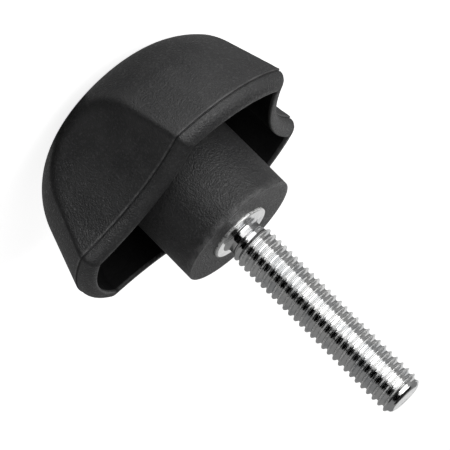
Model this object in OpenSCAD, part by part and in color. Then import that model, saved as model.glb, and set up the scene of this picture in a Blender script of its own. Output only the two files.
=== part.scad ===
// Star knob: a three-lobed domed clamping knob, hollow underneath, with a
// central hub and a threaded steel stud moulded into it.
// Millimetres. The origin is the centre of the hub's seating face, and +Z
// runs out along the stud, so the dome lies on the -Z side.

/* [Head] */
// Number of lobes, with one grip flute between each two
lobes = 3; // [3:1:5]
// Diameter over the lobes at the parting line
head_d = 39.5; // [34:0.1:50]
// Height of the dome above the parting line
dome_h = 16.7; // [14:0.1:24]
// Radius of the crown
crown_r = 30.5; // [22:0.1:40]
// Diameter of the small flat in the crown's middle
crown_flat_d = 5; // [2:0.5:8]
// Radius of the shoulder between crown and side
shoulder_r = 11.6; // [6:0.1:13]
// Draft of the lobe sides, in degrees
side_draft = 18.5; // [8:0.5:22]
// Thickness of the shell
wall = 2; // [1.2:0.1:3]

/* [Flutes] */
// Radius of each hollowed flute
flute_r = 23.3; // [14:0.1:40]
// Depth of a flute below the lobe diameter
flute_depth = 5.2; // [2:0.1:7]
// Draft of the flutes, in degrees
flute_draft = 4.1; // [0:0.1:7]

/* [Rim] */
// Height of the rim band below the parting line
rim_h = 1.9; // [1.5:0.1:5]
// Ledge at the parting line
parting_step = 0.12; // [0:0.01:0.4]
// Inward draft of the rim band, in degrees
rim_draft = 4; // [0:0.5:10]
// Radius of the rim's outer edge
rim_round = 1.6; // [0.2:0.1:2]

/* [Hub] */
// Diameter of the hub
hub_d = 17; // [13:0.1:20]
// Height of the hub's face beyond the rim
hub_stand = 7.2; // [1:0.1:15]
// Radius of the hub's end edge
hub_round = 0.4; // [0.2:0.1:2]
// Thickness of the ribs between hub and flutes
rib_t = 1.5; // [0.8:0.1:3]
// Depth of the ribs' edges below the rim
rib_drop = 6; // [2:0.1:10]

/* [Stud] */
// Nominal thread diameter
thread_d = 6; // [5:1:8]
// Length of the stud beyond the hub's face
stud_l = 30; // [12:1:60]
// Length of the end chamfer
tip_chamfer = 0.9; // [0.3:0.1:1.5]
// Diameter of the relief between thread and collar
relief_d = 4.9; // [4:0.1:6]
// Length of the relief between thread and collar
relief_l = 1.5; // [0.5:0.1:4]
// Diameter of the collar
collar_d = 8.6; // [7:0.1:12]
// Height that the collar stands proud of the hub
collar_stand = 0.35; // [0:0.05:1]
// Radius of the collar's edge
collar_round = 0.25; // [0.05:0.05:0.4]
// Thickness of the collar
collar_t = 1.8; // [1:0.1:3]

/* [Anchor] */
// Diameter over the teeth of the knurled anchor that the hub holds
knurl_d = 8.2; // [6.8:0.1:12]
// Length of the anchor
anchor_l = 9; // [5:0.5:12]
// Number of knurl teeth
anchor_teeth = 24; // [12:1:36]
// Depth of the knurl teeth
knurl_depth = 0.45; // [0.2:0.05:0.8]
// Width of the locking groove round the anchor
groove_w = 2; // [1:0.1:3]
// Depth of the locking groove
groove_depth = 0.9; // [0.3:0.1:1.2]
// Clearance round the moulded-in anchor
insert_gap = 0.02; // [0:0.01:0.1]

/* [Hidden] */
$fn = 96;
eps = 0.01;
// Steps in each arc of the dome's section
arc_steps = 12;

head_r = head_d / 2;
hub_r = hub_d / 2;
// Heights of the rim's edge, the parting line and the crown
rim_z = -hub_stand;
parting_z = rim_z - rim_h;
crown_z = parting_z - dome_h;
// Distance of each flute's axis from the knob's axis, at the parting line
flute_x = head_r - flute_depth + flute_r;
// The rim's rounding stays within the band's height and the shell's thickness
edge_r = min(rim_round, rim_h - 0.2, wall - 0.3);
// Between the lobes, with the first lobe along +Y
first_flute = 90 + 180 / lobes;
lobe_angles = [for (i = [0:lobes - 1]) first_flute + i * 360 / lobes];

// The crown's circle ends at the flat, which has the dome's full height
flat_a = acos(crown_flat_d / 2 / crown_r);
crown_c = dome_h - crown_r * sin(flat_a);
// The shoulder circle touches the side line and, from inside, the crown
side_u = [-sin(side_draft), cos(side_draft)];
start = [
    head_r - shoulder_r * cos(side_draft),
    -shoulder_r * sin(side_draft) - crown_c
];
along = start * side_u;
side_l = -along + sqrt(along * along - start * start + pow(crown_r - shoulder_r, 2));
shoulder_c = [start.x + side_l * side_u.x, start.y + side_l * side_u.y + crown_c];
crown_a = atan2(shoulder_c.y - crown_c, shoulder_c.x);

// Half section of the dome, set in from the outside by a distance
module dome_section(inset) {
    polygon(concat(
        [[0, 0], [head_r - inset / cos(side_draft), 0]],
        [for (i = [0:arc_steps]) on_circle(shoulder_c, shoulder_r - inset, step_angle(side_draft, crown_a, i))],
        [for (i = [1:arc_steps]) on_circle([0, crown_c], crown_r - inset, step_angle(crown_a, flat_a, i))],
        [[0, crown_c + (crown_r - inset) * sin(flat_a)]]
    ));
}

function on_circle(c, r, a) = c + r * [cos(a), sin(a)];
function step_angle(from, to, i) = from + (to - from) * i / arc_steps;

// One flute's cutter, drafted so that it runs in towards the crown
module flute_cutter(grow) {
    for (a = lobe_angles)
        rotate([0, 0, a])
            translate([flute_x, 0, parting_z])
                rotate([0, flute_draft, 0])
                    cylinder(r = flute_r + grow, h = 4 * dome_h, center = true, $fn = 180);
}

// The dome above the parting line, solid
module dome() {
    difference() {
        translate([0, 0, parting_z])
            mirror([0, 0, 1])
                rotate_extrude() dome_section(0);
        flute_cutter(0);
    }
}

// The rim band below the parting line, solid, with its outer edge rounded
module rim_band() {
    band_r = head_r - parting_step;
    run = rim_h * tan(rim_draft);
    difference() {
        translate([0, 0, parting_z])
            rotate_extrude() band_section(band_r, run);
        for (a = lobe_angles)
            rotate([0, 0, a])
                translate([flute_x, 0, parting_z])
                    rotate_extrude($fn = 180) band_flute_section(flute_r + parting_step, run);
    }
}

// Half section of the band on the lobes
module band_section(r, run) {
    c = [r - run - edge_r, rim_h - edge_r];
    polygon(concat(
        [[0, 0], [r, 0]],
        [for (a = [0:15:90]) on_circle(c, edge_r, a)],
        [[0, rim_h]]
    ));
}

// Half section of what a flute takes from the band, from above the parting
// line down to a rounding just past the rim's edge
module band_flute_section(r, run) {
    over = 0.5;
    c = [r + run + edge_r, rim_h + eps - edge_r];
    polygon(concat(
        [[0, -over], [r - over * tan(rim_draft), -over]],
        [for (a = [180:-18:90]) on_circle(c, edge_r, a)],
        [[0, rim_h + eps]]
    ));
}

// The hollow under the dome
module hollow() {
    difference() {
        translate([0, 0, parting_z])
            mirror([0, 0, 1])
                rotate_extrude() hollow_section();
        flute_cutter(wall);
    }
}

// Half section of the hollow, straight through the rim band
module hollow_section() {
    dome_section(wall);
    translate([0, -rim_h - eps])
        square([head_r - wall / cos(side_draft), rim_h + 2 * eps]);
}

// The hub, from inside the crown to the seating face
module hub() {
    root_z = crown_z + wall / 2;
    rotate_extrude() {
        translate([0, root_z]) square([hub_r, -hub_round - root_z]);
        square_h = hub_round;
        translate([0, -square_h]) square([hub_r - hub_round, hub_round]);
        intersection() {
            translate([hub_r - hub_round, -hub_round]) circle(r = hub_round);
            translate([hub_r - hub_round, -hub_round]) square(hub_round);
        }
    }
}

// The ribs that tie the hub to the flute walls
module ribs() {
    top_z = rim_z - rib_drop;
    reach = head_r - flute_depth - wall / 2;
    for (a = lobe_angles)
        rotate([0, 0, a])
            translate([0, -rib_t / 2, crown_z + wall])
                cube([reach, rib_t, top_z - crown_z - wall]);
}

// The knurled anchor, grown by a clearance: two toothed rings on a core, with
// the locking groove between them
module anchor(grow) {
    ring_h = (anchor_l - groove_w) / 2;
    for (z = [-collar_t - ring_h, -collar_t - anchor_l])
        translate([0, 0, z - grow])
            linear_extrude(ring_h + 2 * grow)
                knurl(knurl_d / 2 + grow);
    translate([0, 0, -collar_t - anchor_l + ring_h / 2])
        cylinder(r = knurl_d / 2 - groove_depth + grow, h = anchor_l);
}

module knurl(r) {
    polygon([
        for (i = [0:2 * anchor_teeth - 1])
            (r - (i % 2) * knurl_depth) * [cos(i * 180 / anchor_teeth), sin(i * 180 / anchor_teeth)]
    ]);
}

// The pocket that the moulding leaves round the anchor and the collar
module anchor_pocket() {
    anchor(insert_gap);
    translate([0, 0, -collar_t - insert_gap])
        cylinder(r = collar_d / 2 + insert_gap, h = collar_t + 1);
}

module knob_head() {
    color("#1d1d1f")
        difference() {
            union() {
                difference() {
                    union() {
                        dome();
                        rim_band();
                    }
                    hollow();
                }
                intersection() {
                    union() {
                        hub();
                        ribs();
                    }
                    union() {
                        dome();
                        translate([0, 0, parting_z - eps])
                            cylinder(r = hub_r + eps, h = -parting_z + 2 * eps);
                    }
                }
            }
            anchor_pocket();
        }
}

module threaded_stud() {
    thread_r = thread_d / 2;
    relief_r = relief_d / 2;
    shoulder = thread_r - relief_r;
    collar_r = collar_d / 2;
    color("silver") {
        anchor(0);
        rotate_extrude()
            polygon([
                [0, -collar_t],
                [collar_r, -collar_t],
                [collar_r, collar_stand - collar_round],
                [collar_r - collar_round, collar_stand],
                [relief_r + 0.4, collar_stand],
                [relief_r, collar_stand + 0.4],
                [relief_r, collar_stand + relief_l - shoulder],
                [thread_r, collar_stand + relief_l],
                [thread_r, stud_l - tip_chamfer],
                [thread_r - tip_chamfer, stud_l],
                [0, stud_l]
            ]);
    }
}

knob_head();
threaded_stud();
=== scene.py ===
from math import acos, atan2, cos, degrees, hypot, pi, radians, sin, sqrt, tan

import bpy
import bmesh
from mathutils import Matrix, Vector


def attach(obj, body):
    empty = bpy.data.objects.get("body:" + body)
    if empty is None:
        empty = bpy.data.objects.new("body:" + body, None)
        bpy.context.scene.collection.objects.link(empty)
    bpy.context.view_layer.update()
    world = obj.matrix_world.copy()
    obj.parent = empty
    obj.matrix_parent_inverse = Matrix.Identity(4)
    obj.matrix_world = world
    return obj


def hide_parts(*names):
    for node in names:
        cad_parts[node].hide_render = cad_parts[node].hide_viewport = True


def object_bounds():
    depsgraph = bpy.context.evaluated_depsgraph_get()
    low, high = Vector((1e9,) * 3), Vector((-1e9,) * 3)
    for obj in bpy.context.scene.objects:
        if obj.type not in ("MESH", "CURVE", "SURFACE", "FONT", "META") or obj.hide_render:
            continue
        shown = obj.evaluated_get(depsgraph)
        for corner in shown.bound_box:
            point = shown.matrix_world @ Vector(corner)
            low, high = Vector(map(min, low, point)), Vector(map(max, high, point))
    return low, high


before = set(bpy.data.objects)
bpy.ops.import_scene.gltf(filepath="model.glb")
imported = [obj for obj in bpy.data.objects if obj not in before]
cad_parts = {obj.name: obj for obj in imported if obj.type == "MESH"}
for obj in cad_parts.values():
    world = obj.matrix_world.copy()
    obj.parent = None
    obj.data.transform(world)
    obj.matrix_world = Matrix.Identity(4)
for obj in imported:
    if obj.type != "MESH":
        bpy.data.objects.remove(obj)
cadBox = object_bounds()
scene = bpy.context.scene
mm = 0.001  # the knob is worked out in mm, and each mesh is scaled once it is built
print("frame loaded:", ", ".join(sorted(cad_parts)))


# camera first: the view looks in over the stud, rolled so that the stud runs down to the right
camera = {
    "azimuth": 126.24, "elevation": 13.93, "roll": 135.18,
    "distance": 304.58, "right": -1.81, "down": -0.86,  # mm, where the origin stands off the view's centre
    "lens": 192, "sensor": 36,
    "near": 0.01, "far": 50,  # clipping, in metres
}


def lookFrom(azimuth, elevation):  # how a camera or a lamp is turned to look at the origin from there
    return (Matrix.Rotation(radians(azimuth + 90), 4, "Z")
            @ Matrix.Rotation(radians(90 - elevation), 4, "X"))


def placeCamera(c):
    turn = lookFrom(c["azimuth"], c["elevation"]) @ Matrix.Rotation(radians(c["roll"]), 4, "Z")
    data = bpy.data.cameras.new("studioCamera")
    data.lens = c["lens"]
    data.sensor_width = data.sensor_height = c["sensor"]
    data.clip_start, data.clip_end = c["near"], c["far"]
    cam = bpy.data.objects.new("studioCamera", data)
    scene.collection.objects.link(cam)
    cam.matrix_world = turn @ Matrix.Translation(Vector((c["right"], -c["down"], c["distance"])) * mm)
    scene.camera = cam


placeCamera(camera)
print("camera placed")


def arcPoints(centre, radius, start, end, steps):  # points on an arc in a half section, degrees
    return [(centre[0] + radius * cos(radians(start + (end - start) * i / steps)),
             centre[1] + radius * sin(radians(start + (end - start) * i / steps)))
            for i in range(steps + 1)]


def evenArc(centre, radius, start, end, spacing):  # an arc with its points about one spacing apart
    return arcPoints(centre, radius, start, end, max(4, round(radius * radians(end - start) / spacing)))


def linePoints(a, b, spacing):  # points from a towards b, without b
    n = max(1, round(hypot(b[0] - a[0], b[1] - a[1]) / spacing))
    return [(a[0] + (b[0] - a[0]) * i / n, a[1] + (b[1] - a[1]) * i / n) for i in range(n)]


def smoothStep(a, b, x):
    t = min(1.0, max(0.0, (x - a) / (b - a)))
    return t * t * (3 - 2 * t)


def softMin(a, b, k):  # the smaller of two, blended over a width k
    h = max(k - abs(a - b), 0.0) / k
    return min(a, b) - h * h * k / 4


def joinUp(bm, verts):  # an edge from each vertex to the next
    return [bm.edges.new(pair) for pair in zip(verts, verts[1:])]


def finishMesh(bm, name, smoothAngle):  # edges that turn by more than smoothAngle stay sharp
    bmesh.ops.scale(bm, vec=(mm, mm, mm), verts=bm.verts)
    bm.normal_update()
    for f in bm.faces:
        f.smooth = True
    for e in bm.edges:
        if len(e.link_faces) == 2 and e.calc_face_angle(0) > radians(smoothAngle):
            e.smooth = False
    mesh = bpy.data.meshes.new(name)
    bm.to_mesh(mesh)
    bm.free()
    piece = bpy.data.objects.new(name, mesh)
    scene.collection.objects.link(piece)
    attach(piece, "root")
    return piece


head = {
    "lobes": 3, "radius": 19.75, "wall": 2.0, "sideDraft": 18.5,
    "domeHeight": 16.7, "crownRadius": 30.5, "shoulderRadius": 11.6,
    "crownFlat": 2.5, "crownRings": (1.8, 0.9, 0),  # radius of the small flat on top, and of the rings on it
    "fluteRadius": 23.3, "fluteDepth": 5.2, "fluteDraft": 4.1,
    "creaseLow": 0.25, "creaseHigh": 0.8,  # width over which lobe and flute blend, low down and high up
    "creaseFrom": 0.5, "creaseFull": 0.85,  # it widens from this height to this share of the dome's height
    "creaseGrow": 0.9, "creaseEdge": 0.35, "creaseFade": (11.5, 14.5),  # painted shade along the crease: a darker colour there that fades out high up
    "rimHeight": 1.9, "rimStep": 0.12, "rimDraft": 4, "rimRound": 1.6, "rimRings": 5,
    # lipRubAndHighlight is wear with a painted highlight along the lip's rounded edge
    "lipRound": 0.25, "lipRubAndHighlight": 0.5, "lipRings": (1.45, 0.7),
    "seamDepth": 0.16, "seamWidth": 0.16,
    # the dome's edge over the seam, as (set in, height, rub), where rub is wear with a painted highlight on
    # the edge
    "seamEdge": ((0.0, 0.30, 0.0), (0.0, 0.18, 0.8), (0.0, 0.08, 1.0), (0.02, 0.03, 1.0),
                 (0.07, -0.005, 0.3)),
    "hubRadius": 8.58, "hubStand": 7.2, "hubRound": 0.15, "hubRings": 26, "faceRings": 7,
    "hubFillet": 0.6, "filletDrop": 0.75,  # where the hub meets the hollow's roof
    "coreFade": (0.5, 5),  # the hollow's painted shade mask starts on the hub between these depths below the rim, where it only adds roughness
    "ribThick": 1.5, "ribDrop": 6, "ribRound": 0.25, "ribSink": 1.5,
    "pocketRadius": 4.32, "pocketDepth": 1.82, "boreRadius": 4.12, "boreDepth": 10.83,
    "around": 480, "ring": 0.42, "hollowRing": 0.9, "smoothAngle": 48,
}


def crownCentre(c):  # height of the crown's centre above the parting line; the crown ends in the small flat
    return c["domeHeight"] - sqrt(c["crownRadius"] ** 2 - c["crownFlat"] ** 2)


def domeSection(c, inset, spacing):  # half section of the dome from the parting line up, as (r, height)
    draft, shoulder, crownC = radians(c["sideDraft"]), c["shoulderRadius"], crownCentre(c)
    # the shoulder's circle slides up along the straight side until it touches the crown from inside
    ux, uy = -sin(draft), cos(draft)
    sx, sy = c["radius"] - shoulder * cos(draft), -shoulder * sin(draft) - crownC
    along = sx * ux + sy * uy
    run = -along + sqrt(along ** 2 - sx * sx - sy * sy + (c["crownRadius"] - shoulder) ** 2)
    cx, cy = sx + run * ux, sy + run * uy + crownC
    meet = degrees(atan2(cy - crownC, cx))
    flatAngle = degrees(acos(c["crownFlat"] / c["crownRadius"]))
    side = evenArc((cx, cy), shoulder - inset, c["sideDraft"], meet, spacing)
    top = evenArc((0, crownC), c["crownRadius"] - inset, meet, flatAngle, spacing)
    foot = linePoints((c["radius"] - inset / cos(draft), 0), side[0], spacing)
    return foot + side[:-1] + top + [(r, top[-1][1]) for r in c["crownRings"]]


def headSection(c, seam):
    # the whole half section: crown, outside, seam, rim, hollow, hub, pocket. A row is (r, height above the
    # seam, inset, level, rub with its painted highlight, inside with its painted shade). The inset is how far
    # it stands in from the outside, and under 0 the flutes miss it. The level sets the flutes' lean there,
    # and is the height where none is given.
    rows = []

    def row(r, height, inset, level=None, rubAndHighlight=0.0, inside=0.0):
        rows.append((r, height, inset, height if level is None else level, rubAndHighlight, inside))

    outR, wall, draft = c["radius"], c["wall"], radians(c["sideDraft"])
    for r, h in reversed(domeSection(c, 0, c["ring"])[1:]):
        row(r, h, 0)
    # the parting line: a fine step with a shadow gap under the dome's edge
    band, width, depth = c["rimStep"], c["seamWidth"], c["seamDepth"]
    seamFoot = ((band + depth * 0.8, -0.03, 0.0), (band + depth, -width * 0.5, 0.0),
                (band + depth * 0.7, -width, 0.0), (band + 0.02, -width - 0.06, 0.3))
    for dr, h, rubAndHighlight in c["seamEdge"] + seamFoot:
        row(outR - dr - max(h, 0) * tan(draft), h, dr, max(h, 0), rubAndHighlight)
    # rim band, its rounded edge, the lip and the inner edge
    slope, rr, lr = tan(radians(c["rimDraft"])), c["rimRound"], c["lipRound"]
    edge = c["rimHeight"] - rr
    for i in range(1, c["rimRings"]):
        h = width + 0.1 + (edge - width - 0.1) * i / c["rimRings"]
        row(outR - band - h * slope, -h, band + h * slope, 0)
    foot, lip = band + edge * slope, wall / cos(draft)
    for dr, h in arcPoints((foot + rr, edge), rr, 180, 90, 8):
        row(outR - dr, -h, dr, 0)
    for dr, h in arcPoints((lip - lr, c["rimHeight"] - lr), lr, 90, 0, 4):
        row(outR - dr, -h, dr, 0, c["lipRubAndHighlight"])
    for h in c["lipRings"]:
        row(outR - lip, -h, lip, 0, inside=1.0)
    # the hollow, the fillet from its roof into the hub, and the hub down to its face
    hubR, hr, fillet = c["hubRadius"], c["hubRound"], c["hubFillet"]
    for r, h in domeSection(c, wall, c["hollowRing"]):
        if r > hubR + fillet + 0.1:
            row(r, h, wall if h > 0.01 else lip, inside=1.0)
    roof = crownCentre(c) + sqrt((c["crownRadius"] - wall) ** 2 - (hubR + 0.5) ** 2) - c["filletDrop"]
    for r, h in arcPoints((hubR + fillet, roof), fillet, 80, 180, 5):
        row(r, h, -1, inside=1.0)
    top = seam - roof
    fadeTop, fadeEnd = (-c["hubStand"] - below for below in c["coreFade"])
    for i in range(1, c["hubRings"]):
        z = top + (-hr - top) * i / c["hubRings"]
        row(hubR, seam - z, -1, inside=smoothStep(fadeTop, fadeEnd, z))
    for r, z in arcPoints((hubR - hr, -hr), hr, 0, 90, 6):
        row(r, seam - z, -1, rubAndHighlight=1.0)
    # the hub's face, and the pocket that holds the collar and the anchor
    pocket, bore, ledge = c["pocketRadius"], c["boreRadius"], -c["pocketDepth"]
    for i in range(1, c["faceRings"] + 1):
        row(hubR - hr + (pocket + 0.08 - hubR + hr) * i / c["faceRings"], seam, -1)
    for r, z in ((pocket + 0.02, -0.02), (pocket, -0.08), (pocket, ledge), (bore, ledge - 0.02),
                 (bore, -c["boreDepth"]), (0, -c["boreDepth"])):
        row(r, seam - z, -1)
    return rows


def drawFlutes(bm, c):  # every ring is drawn in to the flutes, and the crease between widens upwards
    layers = bm.verts.layers.float
    gap, rise, creaseShade = layers["gap"], layers["rise"], layers["creaseShade"]
    pitch, lean = 2 * pi / c["lobes"], tan(radians(c["fluteDraft"]))
    fluteAxis = c["radius"] - c["fluteDepth"] + c["fluteRadius"]
    for v in bm.verts:
        r = hypot(v.co.x, v.co.y)
        if v[gap] < 0 or r < 1e-3:
            continue
        a = atan2(v.co.y, v.co.x) - pi / 2 + pitch * 10
        chi = a % pitch - pitch / 2  # angle from the nearest flute's middle
        axis = fluteAxis - max(v[rise], 0) * lean
        reach = (c["fluteRadius"] + v[gap]) ** 2 - (axis * sin(chi)) ** 2
        if reach <= 0:
            continue
        fluteR = axis * cos(chi) - sqrt(reach)
        widening = smoothStep(c["creaseFrom"], c["domeHeight"] * c["creaseFull"], v[rise])
        k = c["creaseLow"] + (c["creaseHigh"] - c["creaseLow"]) * widening
        new = softMin(r, fluteR, k)
        v.co.x, v.co.y = v.co.x * new / r, v.co.y * new / r
        # a mask of painted shade along the crease, fading out high up the dome
        dark = max(0.0, 1 - abs(r - fluteR) / (k * c["creaseGrow"] + c["creaseEdge"]))
        v[creaseShade] = dark * (1 - smoothStep(*c["creaseFade"], v[rise]))


def addRibs(bm, c, seam):  # they tie the hub to the flute walls, deep in the hollow, feet sunk in its roof
    core = bm.verts.layers.float["core"]
    ribTop = -c["hubStand"] - c["ribDrop"]
    near, far = c["hubRadius"] - c["ribSink"], c["radius"] - c["fluteDepth"] - c["wall"] * 0.8
    for i in range(c["lobes"]):
        made = bmesh.ops.create_cube(bm, size=1)["verts"]
        for v in made:
            v.co.x = far if v.co.x > 0 else near
            v.co.y *= c["ribThick"]
            roofZ = seam - (crownCentre(c) + sqrt((c["crownRadius"] - c["wall"] * 0.5) ** 2 - v.co.x ** 2))
            v.co.z = ribTop if v.co.z > 0 else roofZ
            # the ribs take the hollow's painted shade
            v[core] = 1.0
        turn = Matrix.Rotation(radians(90 + 180 / c["lobes"] + i * 360 / c["lobes"]), 3, "Z")
        bmesh.ops.rotate(bm, matrix=turn, cent=(0, 0, 0), verts=made)
        edges = dict.fromkeys(e for v in made for e in v.link_edges)  # each once, in a steady order
        bmesh.ops.bevel(bm, geom=list(edges), offset=c["ribRound"], segments=3, profile=0.5,
                        affect="EDGES", material=-1)


def buildHead(c):
    seam = -c["hubStand"] - c["rimHeight"]  # z of the parting line
    bm = bmesh.new()
    layers = bm.verts.layers.float
    gap, rise = layers.new("gap"), layers.new("rise")  # inset and level of a row, until the flutes are drawn
    wearAndHighlight = layers.new("wearAndHighlight")  # edges that hands and packing rub, and a painted highlight along them
    core = layers.new("core")  # the hollow, which is rougher, and whose colour is painted darker as shade
    layers.new("creaseShade")  # painted shade where lobe and flute meet
    rows = []
    for r, height, inset, level, rubAndHighlight, inside in headSection(c, seam):
        v = bm.verts.new((r, 0, seam - height))
        v[gap], v[rise], v[wearAndHighlight], v[core] = inset, level, rubAndHighlight, inside
        rows.append(v)
    joinUp(bm, rows)
    bmesh.ops.spin(bm, geom=bm.verts[:] + bm.edges[:], axis=(0, 0, 1), cent=(0, 0, 0),
                   angle=2 * pi, steps=c["around"], use_merge=True)
    bmesh.ops.remove_doubles(bm, verts=bm.verts, dist=1e-4)
    drawFlutes(bm, c)
    bmesh.ops.recalc_face_normals(bm, faces=bm.faces)
    addRibs(bm, c, seam)
    # the hollow's faces take the second material, whose darker colour is painted shade
    for f in bm.faces:
        coarse = all(v[core] > 0.99 for v in f.verts)
        outsideHub = max(hypot(v.co.x, v.co.y) for v in f.verts) > c["hubRadius"] + 0.01
        f.material_index = 1 if coarse and outsideHub else 0
    for name in ("gap", "rise"):
        layers.remove(layers[name])
    piece = finishMesh(bm, "mouldedHead", c["smoothAngle"])
    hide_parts("knob_head")
    return piece


knobHead = buildHead(head)
print("head built:", len(knobHead.data.polygons), "faces")


stud = {
    "major": 3.0, "pitch": 1.0, "flank": 60, "crestRound": 0.06, "rootRound": 0.38, "around": 96,
    "start": 1.3, "length": 30.0, "firstCrest": 2.54,
    "runOut": (1.15, 0.1),  # the thread grows out of the neck between these distances before the first crest
    "tipChamfer": 0.7, "tipSlope": 1.05, "tipRound": 0.35, "tipBlend": 0.25,
    "neck": 2.45, "neckTop": 1.7, "neckFillet": 0.6,
    "collarRadius": 4.3, "collarStand": 0.35, "collarRound": 0.22, "collarThick": 1.8, "collarAround": 128,
    "faceRings": ((3.8, 0.0), (3.45, -0.01), (3.2, 0.0)),  # a faint turned dip in the collar's face
    "knurlRadius": 4.1, "knurlTeeth": 24, "knurlDepth": 0.45,
    "anchorLength": 9, "grooveWidth": 2, "grooveDepth": 0.9,
    "crestRubAndHighlight": (0.09, 0.02), "collarRubAndHighlight": (0.25, 0.05),  # wear and a painted highlight fade in between these distances from an edge
    "smoothAngle": 40,
}


def threadedRod(bm, c):
    # half a pitch of the thread, as (height, depth): a small round crest, a short flank and a wide round root
    crest, p, low, high = c["major"], c["pitch"], c["start"], c["length"]
    rc, rr, flank = c["crestRound"], c["rootRound"], radians(c["flank"])
    slant = (p / 2 - (rc + rr) * sin(flank)) / cos(flank)
    depth = (rc + rr) * (1 - cos(flank)) + slant * sin(flank)
    half = [(r, -h) for h, r in arcPoints((-rc, 0), rc, 0, c["flank"], 4)]
    half += [(p / 2 - r, depth + h) for h, r in arcPoints((-rr, 0), rr, c["flank"], 0, 8)]
    turn = half + [(p - dz, cut) for dz, cut in reversed(half[1:-1])]
    # the section is spun up one pitch a turn, with spare turns at both ends that are then cut away
    first = c["firstCrest"] - 3 * p
    turns = int((high - first) / p) + 3
    joinUp(bm, [bm.verts.new((crest - cut, 0, first - p + t * p + dz))
                for t in range(turns) for dz, cut in turn])
    bmesh.ops.spin(bm, geom=bm.verts[:] + bm.edges[:], axis=(0, 0, 1), cent=(0, 0, 0),
                   dvec=(0, 0, p / c["around"]), angle=2 * pi, steps=c["around"], use_merge=False)
    bmesh.ops.remove_doubles(bm, verts=bm.verts, dist=2e-4)
    for z, up in ((low, False), (high, True)):
        bmesh.ops.bisect_plane(bm, geom=bm.verts[:] + bm.edges[:] + bm.faces[:], dist=1e-5,
                               plane_co=(0, 0, z), plane_no=(0, 0, 1), clear_outer=up, clear_inner=not up)
    # the thread runs out into the neck, and the tip is chamfered
    neck, tipRound = c["neck"], c["tipRound"]
    growFrom, growTo = (c["firstCrest"] - before for before in c["runOut"])
    for v in bm.verts:
        r, back = hypot(v.co.x, v.co.y), high - v.co.z
        tip = crest - c["tipChamfer"] + back * c["tipSlope"]
        if back < tipRound:
            tip -= tipRound * 0.5 * (1 - sqrt(max(0.0, 1 - ((tipRound - back) / tipRound) ** 2)))
        new = softMin(neck + (r - neck) * smoothStep(growFrom, growTo, v.co.z), tip, c["tipBlend"])
        v.co.x, v.co.y = v.co.x * new / r, v.co.y * new / r
    bmesh.ops.holes_fill(bm, edges=[e for e in bm.edges if e.is_boundary], sides=0)
    caps = [f for f in bm.faces if len(f.verts) > 8]
    bmesh.ops.recalc_face_normals(bm, faces=bm.faces)
    bmesh.ops.triangulate(bm, faces=caps)


def collarAndNeck(bm, c):  # with the fillet between them, spun from their half section
    cr, cs, rd = c["collarRadius"], c["collarStand"], c["collarRound"]
    neck, fillet = c["neck"], c["neckFillet"]
    half = [(0, -c["collarThick"]), (cr, -c["collarThick"]), (cr, -1.0), (cr, -0.2), (cr, 0.0)]
    half += arcPoints((cr - rd, cs - rd), rd, 0, 90, 8)
    half += [(r, cs + dz) for r, dz in c["faceRings"]]
    half += arcPoints((neck + fillet + 0.02, cs + fillet), fillet, 270, 180, 8)
    half += [(neck + 0.01, c["start"]), (neck, c["neckTop"]), (0, c["neckTop"])]
    verts = [bm.verts.new((r, 0, z)) for r, z in half]
    bmesh.ops.spin(bm, geom=verts + joinUp(bm, verts), axis=(0, 0, 1), cent=(0, 0, 0),
                   angle=2 * pi, steps=c["collarAround"], use_merge=True)
    poles = [v for v in bm.verts if hypot(v.co.x, v.co.y) < 1e-3]
    bmesh.ops.remove_doubles(bm, verts=poles, dist=1e-4)


def addDrum(bm, radius, depth, z, segments):
    return bmesh.ops.create_cone(bm, cap_ends=True, segments=segments, radius1=radius, radius2=radius,
                                 depth=depth, matrix=Matrix.Translation((0, 0, z)))["verts"]


def knurledAnchor(bm, c):  # two knurled rings on a core, hidden in the hub
    top, length, outside = -c["collarThick"], c["anchorLength"], c["knurlRadius"]
    ring = (length - c["grooveWidth"]) / 2
    steps = c["knurlTeeth"] * 2
    for z in (top - ring / 2, top - length + ring / 2):
        for v in addDrum(bm, outside, ring, z, steps):
            if round(atan2(v.co.y, v.co.x) / (2 * pi) * steps) % 2:
                v.co.x *= 1 - c["knurlDepth"] / outside
                v.co.y *= 1 - c["knurlDepth"] / outside
    addDrum(bm, outside - c["grooveDepth"], length, top - length / 2 + 0.1, 48)


def buildStud(c):
    bm = bmesh.new()
    threadedRod(bm, c)
    collarAndNeck(bm, c)
    knurledAnchor(bm, c)
    bmesh.ops.recalc_face_normals(bm, faces=bm.faces)
    wearAndHighlight = bm.verts.layers.float.new("wearAndHighlight")  # the thread's crests and the collar's rim rub first, and a painted highlight lies on them
    for v in bm.verts:
        onThread = v.co.z > c["start"]
        edge, rubAndHighlight = (c["major"], c["crestRubAndHighlight"]) if onThread else (c["collarRadius"], c["collarRubAndHighlight"])
        v[wearAndHighlight] = smoothStep(edge - rubAndHighlight[0], edge - rubAndHighlight[1], hypot(v.co.x, v.co.y))
    piece = finishMesh(bm, "studThread", c["smoothAngle"])
    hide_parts("threaded_stud")
    return piece


steelStud = buildStud(stud)
print("stud built:", len(steelStud.data.polygons), "faces")


def newMaterial(name):
    mat = bpy.data.materials.new(name)
    mat.use_nodes = True
    return mat, mat.node_tree, mat.node_tree.nodes["Principled BSDF"].inputs


def addNode(tree, kind, place, **values):
    node = tree.nodes.new(kind)
    node.location = place
    for key, value in values.items():
        setattr(node, key, value)
    return node


def feed(tree, socket, value):  # links a socket to another, or sets a number or a colour on it
    if isinstance(value, bpy.types.NodeSocket):
        tree.links.new(value, socket)
    else:
        socket.default_value = value


def feedAll(tree, sockets, values):
    for label, value in values.items():
        feed(tree, sockets[label], value)


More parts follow.
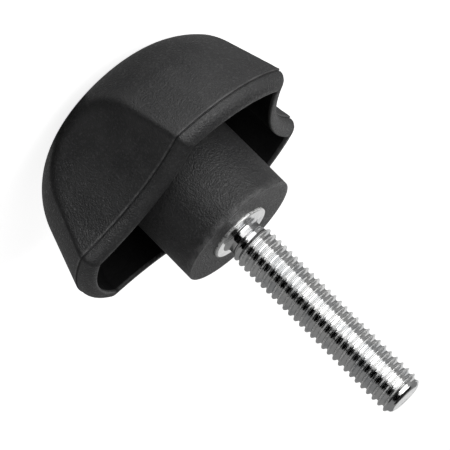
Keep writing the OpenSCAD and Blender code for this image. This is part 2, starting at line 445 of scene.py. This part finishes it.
def mathNode(tree, operation, a, b, place, clamp=False):
    node = addNode(tree, "ShaderNodeMath", place, operation=operation, use_clamp=clamp)
    feed(tree, node.inputs[0], a)
    feed(tree, node.inputs[1], b)
    return node.outputs[0]


def stretchNode(tree, value, low, high, place, to=(0.0, 1.0)):  # low..high onto to, smoothly
    node = addNode(tree, "ShaderNodeMapRange", place, interpolation_type="SMOOTHSTEP")
    feedAll(tree, node.inputs,
            {"Value": value, "From Min": low, "From Max": high, "To Min": to[0], "To Max": to[1]})
    return node.outputs["Result"]


def noiseNode(tree, vector, scale, place, detail, roughness):
    node = addNode(tree, "ShaderNodeTexNoise", place)
    feedAll(tree, node.inputs, {"Vector": vector, "Scale": scale, "Detail": detail, "Roughness": roughness})
    return node.outputs["Fac"]


def newGroup(name, numbers, results):  # reads a place and some numbers, and puts out values and masks
    tree = bpy.data.node_groups.new(name, "ShaderNodeTree")
    tree.interface.new_socket("Vector", in_out="INPUT", socket_type="NodeSocketVector")
    for label, value in numbers.items():
        socket = tree.interface.new_socket(label, in_out="INPUT", socket_type="NodeSocketFloat")
        socket.default_value = value
    for label in results:
        tree.interface.new_socket(label, in_out="OUTPUT", socket_type="NodeSocketFloat")
    given = addNode(tree, "NodeGroupInput", (-900, 0)).outputs
    return tree, given, addNode(tree, "NodeGroupOutput", (700, 0)).inputs


def fineGrainGroup():  # the pitted skin of a moulding or a plating: a height, and a mask of single specks
    tree, given, out = newGroup("fineGrain", {"Scale": 4000.0, "Pits": 0.5}, ("Height", "Specks"))
    where, scale = given["Vector"], given["Scale"]
    soft = noiseNode(tree, where, scale, (-600, 200), detail=2.0, roughness=0.65)
    cells = addNode(tree, "ShaderNodeTexVoronoi", (-600, -100))
    cellScale = mathNode(tree, "MULTIPLY", scale, 0.8, (-750, -200))
    feedAll(tree, cells.inputs, {"Vector": where, "Scale": cellScale})
    pits = mathNode(tree, "MULTIPLY", cells.outputs["Distance"], given["Pits"], (-300, -100))
    feed(tree, out["Height"], mathNode(tree, "ADD", soft, pits, (0, 100)))
    speckScale = mathNode(tree, "MULTIPLY", scale, 0.55, (-750, -400))
    coarse = noiseNode(tree, where, speckScale, (-600, -400), detail=1.0, roughness=0.5)
    feed(tree, out["Specks"], stretchNode(tree, coarse, 0.52, 0.72, (0, -300)))
    return tree


def cloudsGroup():  # slow change of tone and shine over the surface
    tree, given, out = newGroup("softClouds", {"Scale": 200.0, "Low": 0.35, "High": 0.65}, ("Mask",))
    noisy = noiseNode(tree, given["Vector"], given["Scale"], (-500, 0), detail=4.0, roughness=0.6)
    feed(tree, out["Mask"], stretchNode(tree, noisy, given["Low"], given["High"], (0, 0)))
    return tree


def wearAndHighlightGroup():  # a band of wear and painted highlight, broken up so that it comes and goes along the edge
    tree, given, out = newGroup("wearAndHighlightEdge", {"Edge": 0.0, "Scale": 900.0, "Amount": 1.0}, ("Mask",))
    noisy = noiseNode(tree, given["Vector"], given["Scale"], (-500, 0), detail=3.0, roughness=0.7)
    broken = stretchNode(tree, noisy, 0.38, 0.62, (-200, 0), to=(0.25, 1.0))
    mask = mathNode(tree, "MULTIPLY", given["Edge"], broken, (100, 0))
    feed(tree, out["Mask"], mathNode(tree, "MULTIPLY", mask, given["Amount"], (300, 0), clamp=True))
    return tree


def scuffsGroup():  # fine straight marks from handling, in two directions
    tree, given, out = newGroup("fineScuffs", {"Scale": 300.0, "Amount": 0.5}, ("Mask",))
    marks = []
    for turn, stretch, y in (((0.4, 0.2, 0.9), 14.0, 0), ((1.1, 0.7, 2.4), 18.0, -300)):
        mapping = addNode(tree, "ShaderNodeMapping", (-650, y))
        feedAll(tree, mapping.inputs,
                {"Vector": given["Vector"], "Rotation": turn, "Scale": (1.0, stretch, stretch)})
        noisy = noiseNode(tree, mapping.outputs["Vector"], given["Scale"], (-400, y),
                          detail=2.0, roughness=0.5)
        marks.append(stretchNode(tree, noisy, 0.62, 0.70, (-150, y)))
    both = mathNode(tree, "MAXIMUM", *marks, (150, 0))
    feed(tree, out["Mask"], mathNode(tree, "MULTIPLY", both, given["Amount"], (350, 0)))
    return tree


groups = {"grain": fineGrainGroup(), "clouds": cloudsGroup(),
          "wearAndHighlight": wearAndHighlightGroup(), "scuffs": scuffsGroup()}


def placeGroup(tree, kind, place, values):
    node = addNode(tree, "ShaderNodeGroup", place, node_tree=groups[kind], label=groups[kind].name)
    feedAll(tree, node.inputs, values)
    return node.outputs


def attributeNode(tree, name, place):
    return addNode(tree, "ShaderNodeAttribute", place, attribute_name=name).outputs["Fac"]


def mixColour(tree, factor, a, b, place):  # a and b are colours or sockets
    node = addNode(tree, "ShaderNodeMix", place, data_type="RGBA")
    feed(tree, node.inputs["Factor"], factor)
    feed(tree, node.inputs[6], a)  # 6 and 7 are its two colours, and 2 is the mixed one
    feed(tree, node.inputs[7], b)
    return node.outputs[2]


def sumOf(tree, start, terms, place):  # start plus each socket times its number, kept from 0 to 1
    total = start
    for i, (socket, factor) in enumerate(terms):
        x, y = place[0] + 160 * i, place[1]
        part = mathNode(tree, "MULTIPLY", socket, factor, (x, y - 120))
        total = mathNode(tree, "ADD", total, part, (x, y), clamp=i == len(terms) - 1)
    return total


def startFinish(name, c):  # what every finish here has: slow clouds, and a grain that also lifts the skin
    mat, tree, shader = newMaterial(name)
    where = addNode(tree, "ShaderNodeTexCoord", (-1600, 0)).outputs["Object"]
    grain = placeGroup(tree, "grain", (-1300, -400), {"Vector": where, "Scale": c["grain"],
                                                      "Pits": c["pits"]})
    clouds = placeGroup(tree, "clouds", (-1300, 300), {"Vector": where, "Scale": c["cloud"],
                                                       "Low": c["cloudLow"], "High": c["cloudHigh"]})
    bump = addNode(tree, "ShaderNodeBump", (-300, -300))
    feedAll(tree, bump.inputs,
            {"Strength": c["grainBump"], "Distance": c["grainDepth"], "Height": grain["Height"]})
    feed(tree, shader["Normal"], bump.outputs["Normal"])
    return mat, tree, shader, where, grain["Specks"], clouds["Mask"]


def addWearAndHighlight(tree, where, c):  # rubbed edges with their painted highlight, and scuffs
    edges = attributeNode(tree, "wearAndHighlight", (-1600, 300))
    wearAndHighlight = placeGroup(tree, "wearAndHighlight", (-1300, 0), {"Vector": where, "Edge": edges, "Scale": c["wearAndHighlightScale"],
                                                 "Amount": c["wearAndHighlightAmount"]})
    scuffs = placeGroup(tree, "scuffs", (-1300, -200), {"Vector": where, "Scale": c["scuff"],
                                                        "Amount": c["scuffAmount"]})
    return wearAndHighlight["Mask"], scuffs["Mask"]


# grain, cloud, wear (with its painted highlight) and scuff are scales per metre, grainDepth is in metres, and
# the names that end in
# Rough say what a mask adds to the roughness
plastic = {
    # rubbed is a lighter colour on rubbed edges: wear, and a painted highlight
    "colour": (0.024, 0.024, 0.0248, 1), "pale": (0.034, 0.034, 0.0345, 1),
    # crease is painted shade, a darker colour along where lobe and flute meet
    "speck": (0.048, 0.048, 0.0485, 1), "wearAndHighlightColour": (0.10, 0.10, 0.10, 1), "creaseShade": (0.010, 0.010, 0.0105, 1),
    "roughness": 0.43, "cloudRough": 0.05, "speckRough": -0.16, "wearAndHighlightRough": -0.08, "scuffRough": -0.06,
    "creaseRough": 0.22, "coreRough": 0.3,
    "grain": 5000, "pits": 0.5, "grainDepth": 0.00014, "grainBump": 0.8,
    "cloud": 260, "cloudLow": 0.36, "cloudHigh": 0.66,
    "wearAndHighlightScale": 1100, "wearAndHighlightAmount": 1.0, "scuff": 260, "scuffAmount": 0.5,
}


def blackPlastic(c):
    mat, tree, shader, where, specks, clouds = startFinish("grainedBlackPlastic", c)
    wearAndHighlight, scuffs = addWearAndHighlight(tree, where, c)
    core = attributeNode(tree, "core", (-1600, 500))
    creaseShade = attributeNode(tree, "creaseShade", (-1600, 700))
    colour = mixColour(tree, clouds, c["colour"], c["pale"], (-1000, 300))
    colour = mixColour(tree, specks, colour, c["speck"], (-800, 300))
    # wear and a painted highlight: a lighter colour on rubbed edges
    colour = mixColour(tree, wearAndHighlight, colour, c["wearAndHighlightColour"], (-600, 300))
    # painted shade: a darker colour along the crease
    feed(tree, shader["Base Color"], mixColour(tree, creaseShade, colour, c["creaseShade"], (-400, 300)))
    terms = ((clouds, c["cloudRough"]), (specks, c["speckRough"]), (wearAndHighlight, c["wearAndHighlightRough"]),
             (scuffs, c["scuffRough"]), (creaseShade, c["creaseRough"]), (core, c["coreRough"]))
    feed(tree, shader["Roughness"], sumOf(tree, c["roughness"], terms, (-1000, 0)))
    return mat


# the hollow's finish: rough and dull, and its dark colour is painted shade
coreSide = {
    "colour": (0.006, 0.006, 0.0062, 1), "pale": (0.010, 0.010, 0.0102, 1), "gloss": 0.12,
    "roughness": 0.8, "cloudRough": 0.08, "speckRough": -0.06,
    "grain": 2600, "pits": 0.6, "grainDepth": 0.0001, "grainBump": 0.7,
    "cloud": 180, "cloudLow": 0.36, "cloudHigh": 0.66,
}


def roughHollowShadedFinish(c):  # the hollow: rough and dull as a mould's core leaves it, with painted shade in its darker colour
    mat, tree, shader, _, specks, clouds = startFinish("roughHollowShadedPlastic", c)
    shader["Specular IOR Level"].default_value = c["gloss"]
    feed(tree, shader["Base Color"], mixColour(tree, clouds, c["colour"], c["pale"], (-800, 300)))
    terms = ((clouds, c["cloudRough"]), (specks, c["speckRough"]))
    feed(tree, shader["Roughness"], sumOf(tree, c["roughness"], terms, (-1000, 0)))
    return mat


zinc = {
    # rubbed, with less metal and more roughness, lightens the crests and the collar's rim: wear, and a
    # painted highlight
    "colour": (0.78, 0.78, 0.775, 1), "dull": (0.60, 0.61, 0.62, 1), "wearAndHighlightColour": (0.86, 0.86, 0.85, 1),
    "wearAndHighlightMetal": -0.55,  # what wear and the painted highlight take from the metal's shine
    "roughness": 0.10, "cloudRough": 0.06, "speckRough": 0.05, "wearAndHighlightRough": 0.38, "scuffRough": 0.08,
    "grain": 6500, "pits": 0.3, "grainDepth": 0.000006, "grainBump": 0.5,
    "cloud": 500, "cloudLow": 0.4, "cloudHigh": 0.7,
    "wearAndHighlightScale": 1600, "wearAndHighlightAmount": 0.8, "scuff": 500, "scuffAmount": 0.8,
}


def zincSteel(c):
    mat, tree, shader, where, specks, clouds = startFinish("brightZincSteel", c)
    wearAndHighlight, scuffs = addWearAndHighlight(tree, where, c)
    colour = mixColour(tree, clouds, c["colour"], c["dull"], (-1000, 300))
    # wear and a painted highlight lighten the rubbed edges
    feed(tree, shader["Base Color"], mixColour(tree, wearAndHighlight, colour, c["wearAndHighlightColour"], (-800, 300)))
    feed(tree, shader["Metallic"], sumOf(tree, 1.0, ((wearAndHighlight, c["wearAndHighlightMetal"]),), (-600, 200)))
    terms = ((clouds, c["cloudRough"]), (specks, c["speckRough"]), (wearAndHighlight, c["wearAndHighlightRough"]),
             (scuffs, c["scuffRough"]))
    feed(tree, shader["Roughness"], sumOf(tree, c["roughness"], terms, (-1000, 0)))
    return mat


knobHead.data.materials.append(blackPlastic(plastic))
knobHead.data.materials.append(roughHollowShadedFinish(coreSide))
steelStud.data.materials.append(zincSteel(zinc))
print("materials set")


# lengths are in metres, and turns are counted from the azimuth that the camera looks from
studio = {
    "view": camera["azimuth"], "world": 0.11,
    "floorRadius": 3.0, "floorColour": (0.9, 0.9, 0.9, 1), "floorRoughness": 0.9, "floorGloss": 0.1,
    "floorLift": 0.82,
    "lamps": {
        "keyRight": {"turn": -42, "elevation": 8, "distance": 0.8, "size": (1.15, 1.2), "power": 11.5},
        "fillLeft": {"turn": 100, "elevation": 10, "distance": 0.8, "size": (0.9, 1.0), "power": 1.7},
    },
    # cards that only the knob's gloss sees, each glowing at its shade, so that they paint reflections on it:
    # three curve up from the floor, and the others follow their own line of (radius, height): an upright
    # strip on the far side, a flat one at the foot that paints the floor's shade under the knob into its
    # reflections, and a lid overhead
    "cards": {
        "blackCard": {"from": 10, "to": 58, "shade": 0.0},
        "greyCard": {"from": 58, "to": 262, "shade": 0.24},
        "farCard": {"from": 176, "to": 262, "shade": 0.78, "line": ((0.148, 0.03), (0.148, 0.105))},
        "sideCard": {"from": 262, "to": 294, "shade": 0.3},
        "footCard": {"from": -84, "to": 10, "shade": 0.2, "line": ((0.003, 0.0003), (0.028, 0.0003))},
        "topCard": {"from": 0, "to": 360, "shade": 0.02, "line": ((0.17, 0.24), (0.075, 0.31), (0.0, 0.31))},
    },
    "cardFoot": 0.003, "cardGap": 0.0003, "cardReach": 0.12, "cardCurve": 0.03, "cardHeight": 0.25,
    "cardSteps": 48,
}


def stagePiece(bm, name):
    mesh = bpy.data.meshes.new(name)
    bm.to_mesh(mesh)
    bm.free()
    piece = bpy.data.objects.new(name, mesh)
    scene.collection.objects.link(piece)
    mat, tree, shader = newMaterial(name)
    mesh.materials.append(mat)
    return piece, tree, shader


def seenDirectly(tree, strength, place):  # for the camera and in gloss and glass, and 0 for all other rays
    x, y = place
    path = addNode(tree, "ShaderNodeLightPath", place).outputs
    seen = mathNode(tree, "MAXIMUM", path["Is Camera Ray"], path["Is Glossy Ray"], (x + 200, y))
    seen = mathNode(tree, "MAXIMUM", seen, path["Is Transmission Ray"], (x + 400, y))
    return mathNode(tree, "MULTIPLY", seen, strength, (x + 600, y))


def buildFloor(c, low):
    bm = bmesh.new()
    bmesh.ops.create_circle(bm, cap_ends=True, segments=96, radius=c["floorRadius"],
                            matrix=Matrix.Translation((0, 0, low)))
    _, tree, shader = stagePiece(bm, "paleFloor")
    feedAll(tree, shader, {"Base Color": c["floorColour"], "Roughness": c["floorRoughness"],
                           "Specular IOR Level": c["floorGloss"], "Emission Color": (1, 1, 1, 1),
                           "Emission Strength": seenDirectly(tree, c["floorLift"], (-900, -200))})


def buildCard(c, name, card, low):
    gap, far, curve = c["cardGap"], c["cardReach"], c["cardCurve"]
    wall = arcPoints((far, gap + curve), curve, -90, 0, 8)
    wall = [(c["cardFoot"], gap)] + wall + [(far + curve, c["cardHeight"])]
    bm = bmesh.new()
    joinUp(bm, [bm.verts.new((r, 0, low + z)) for r, z in card.get("line", wall)])
    start = Matrix.Rotation(radians(c["view"] + card["from"]), 3, "Z")
    bmesh.ops.rotate(bm, matrix=start, cent=(0, 0, 0), verts=bm.verts)
    sweep = card["to"] - card["from"]
    bmesh.ops.spin(bm, geom=bm.verts[:] + bm.edges[:], axis=(0, 0, 1), cent=(0, 0, 0),
                   angle=radians(sweep), steps=c["cardSteps"], use_merge=sweep == 360)
    piece, tree, shader = stagePiece(bm, name)
    # each card glows at its shade and only gloss sees it: a painted reflection
    feedAll(tree, shader, {"Base Color": (0.0, 0.0, 0.0, 1), "Specular IOR Level": 0,
                           "Emission Color": (1, 1, 1, 1), "Emission Strength": card["shade"]})
    piece.visible_camera = piece.visible_shadow = piece.visible_diffuse = False
    piece.visible_transmission = piece.visible_volume_scatter = False


def placeLamp(c, name, lamp):
    data = bpy.data.lights.new(name, "AREA")
    data.shape = "RECTANGLE"
    data.size, data.size_y = lamp["size"]
    data.energy = lamp["power"]
    piece = bpy.data.objects.new(name, data)
    scene.collection.objects.link(piece)
    piece.matrix_world = (lookFrom(c["view"] + lamp["turn"], lamp["elevation"])
                          @ Matrix.Translation((0, 0, lamp["distance"])))


def buildStudio(c):
    low = cadBox[0][2]
    buildFloor(c, low)
    for name, card in c["cards"].items():
        buildCard(c, name, card, low)
    for name, lamp in c["lamps"].items():
        placeLamp(c, name, lamp)
    world = bpy.data.worlds.new("studioWorld")
    scene.world = world
    world.use_nodes = True
    back = world.node_tree.nodes["Background"].inputs
    feedAll(world.node_tree, back, {"Color": (1, 1, 1, 1), "Strength": c["world"]})


buildStudio(studio)
scene.view_settings.view_transform = "Standard"
print("studio set")
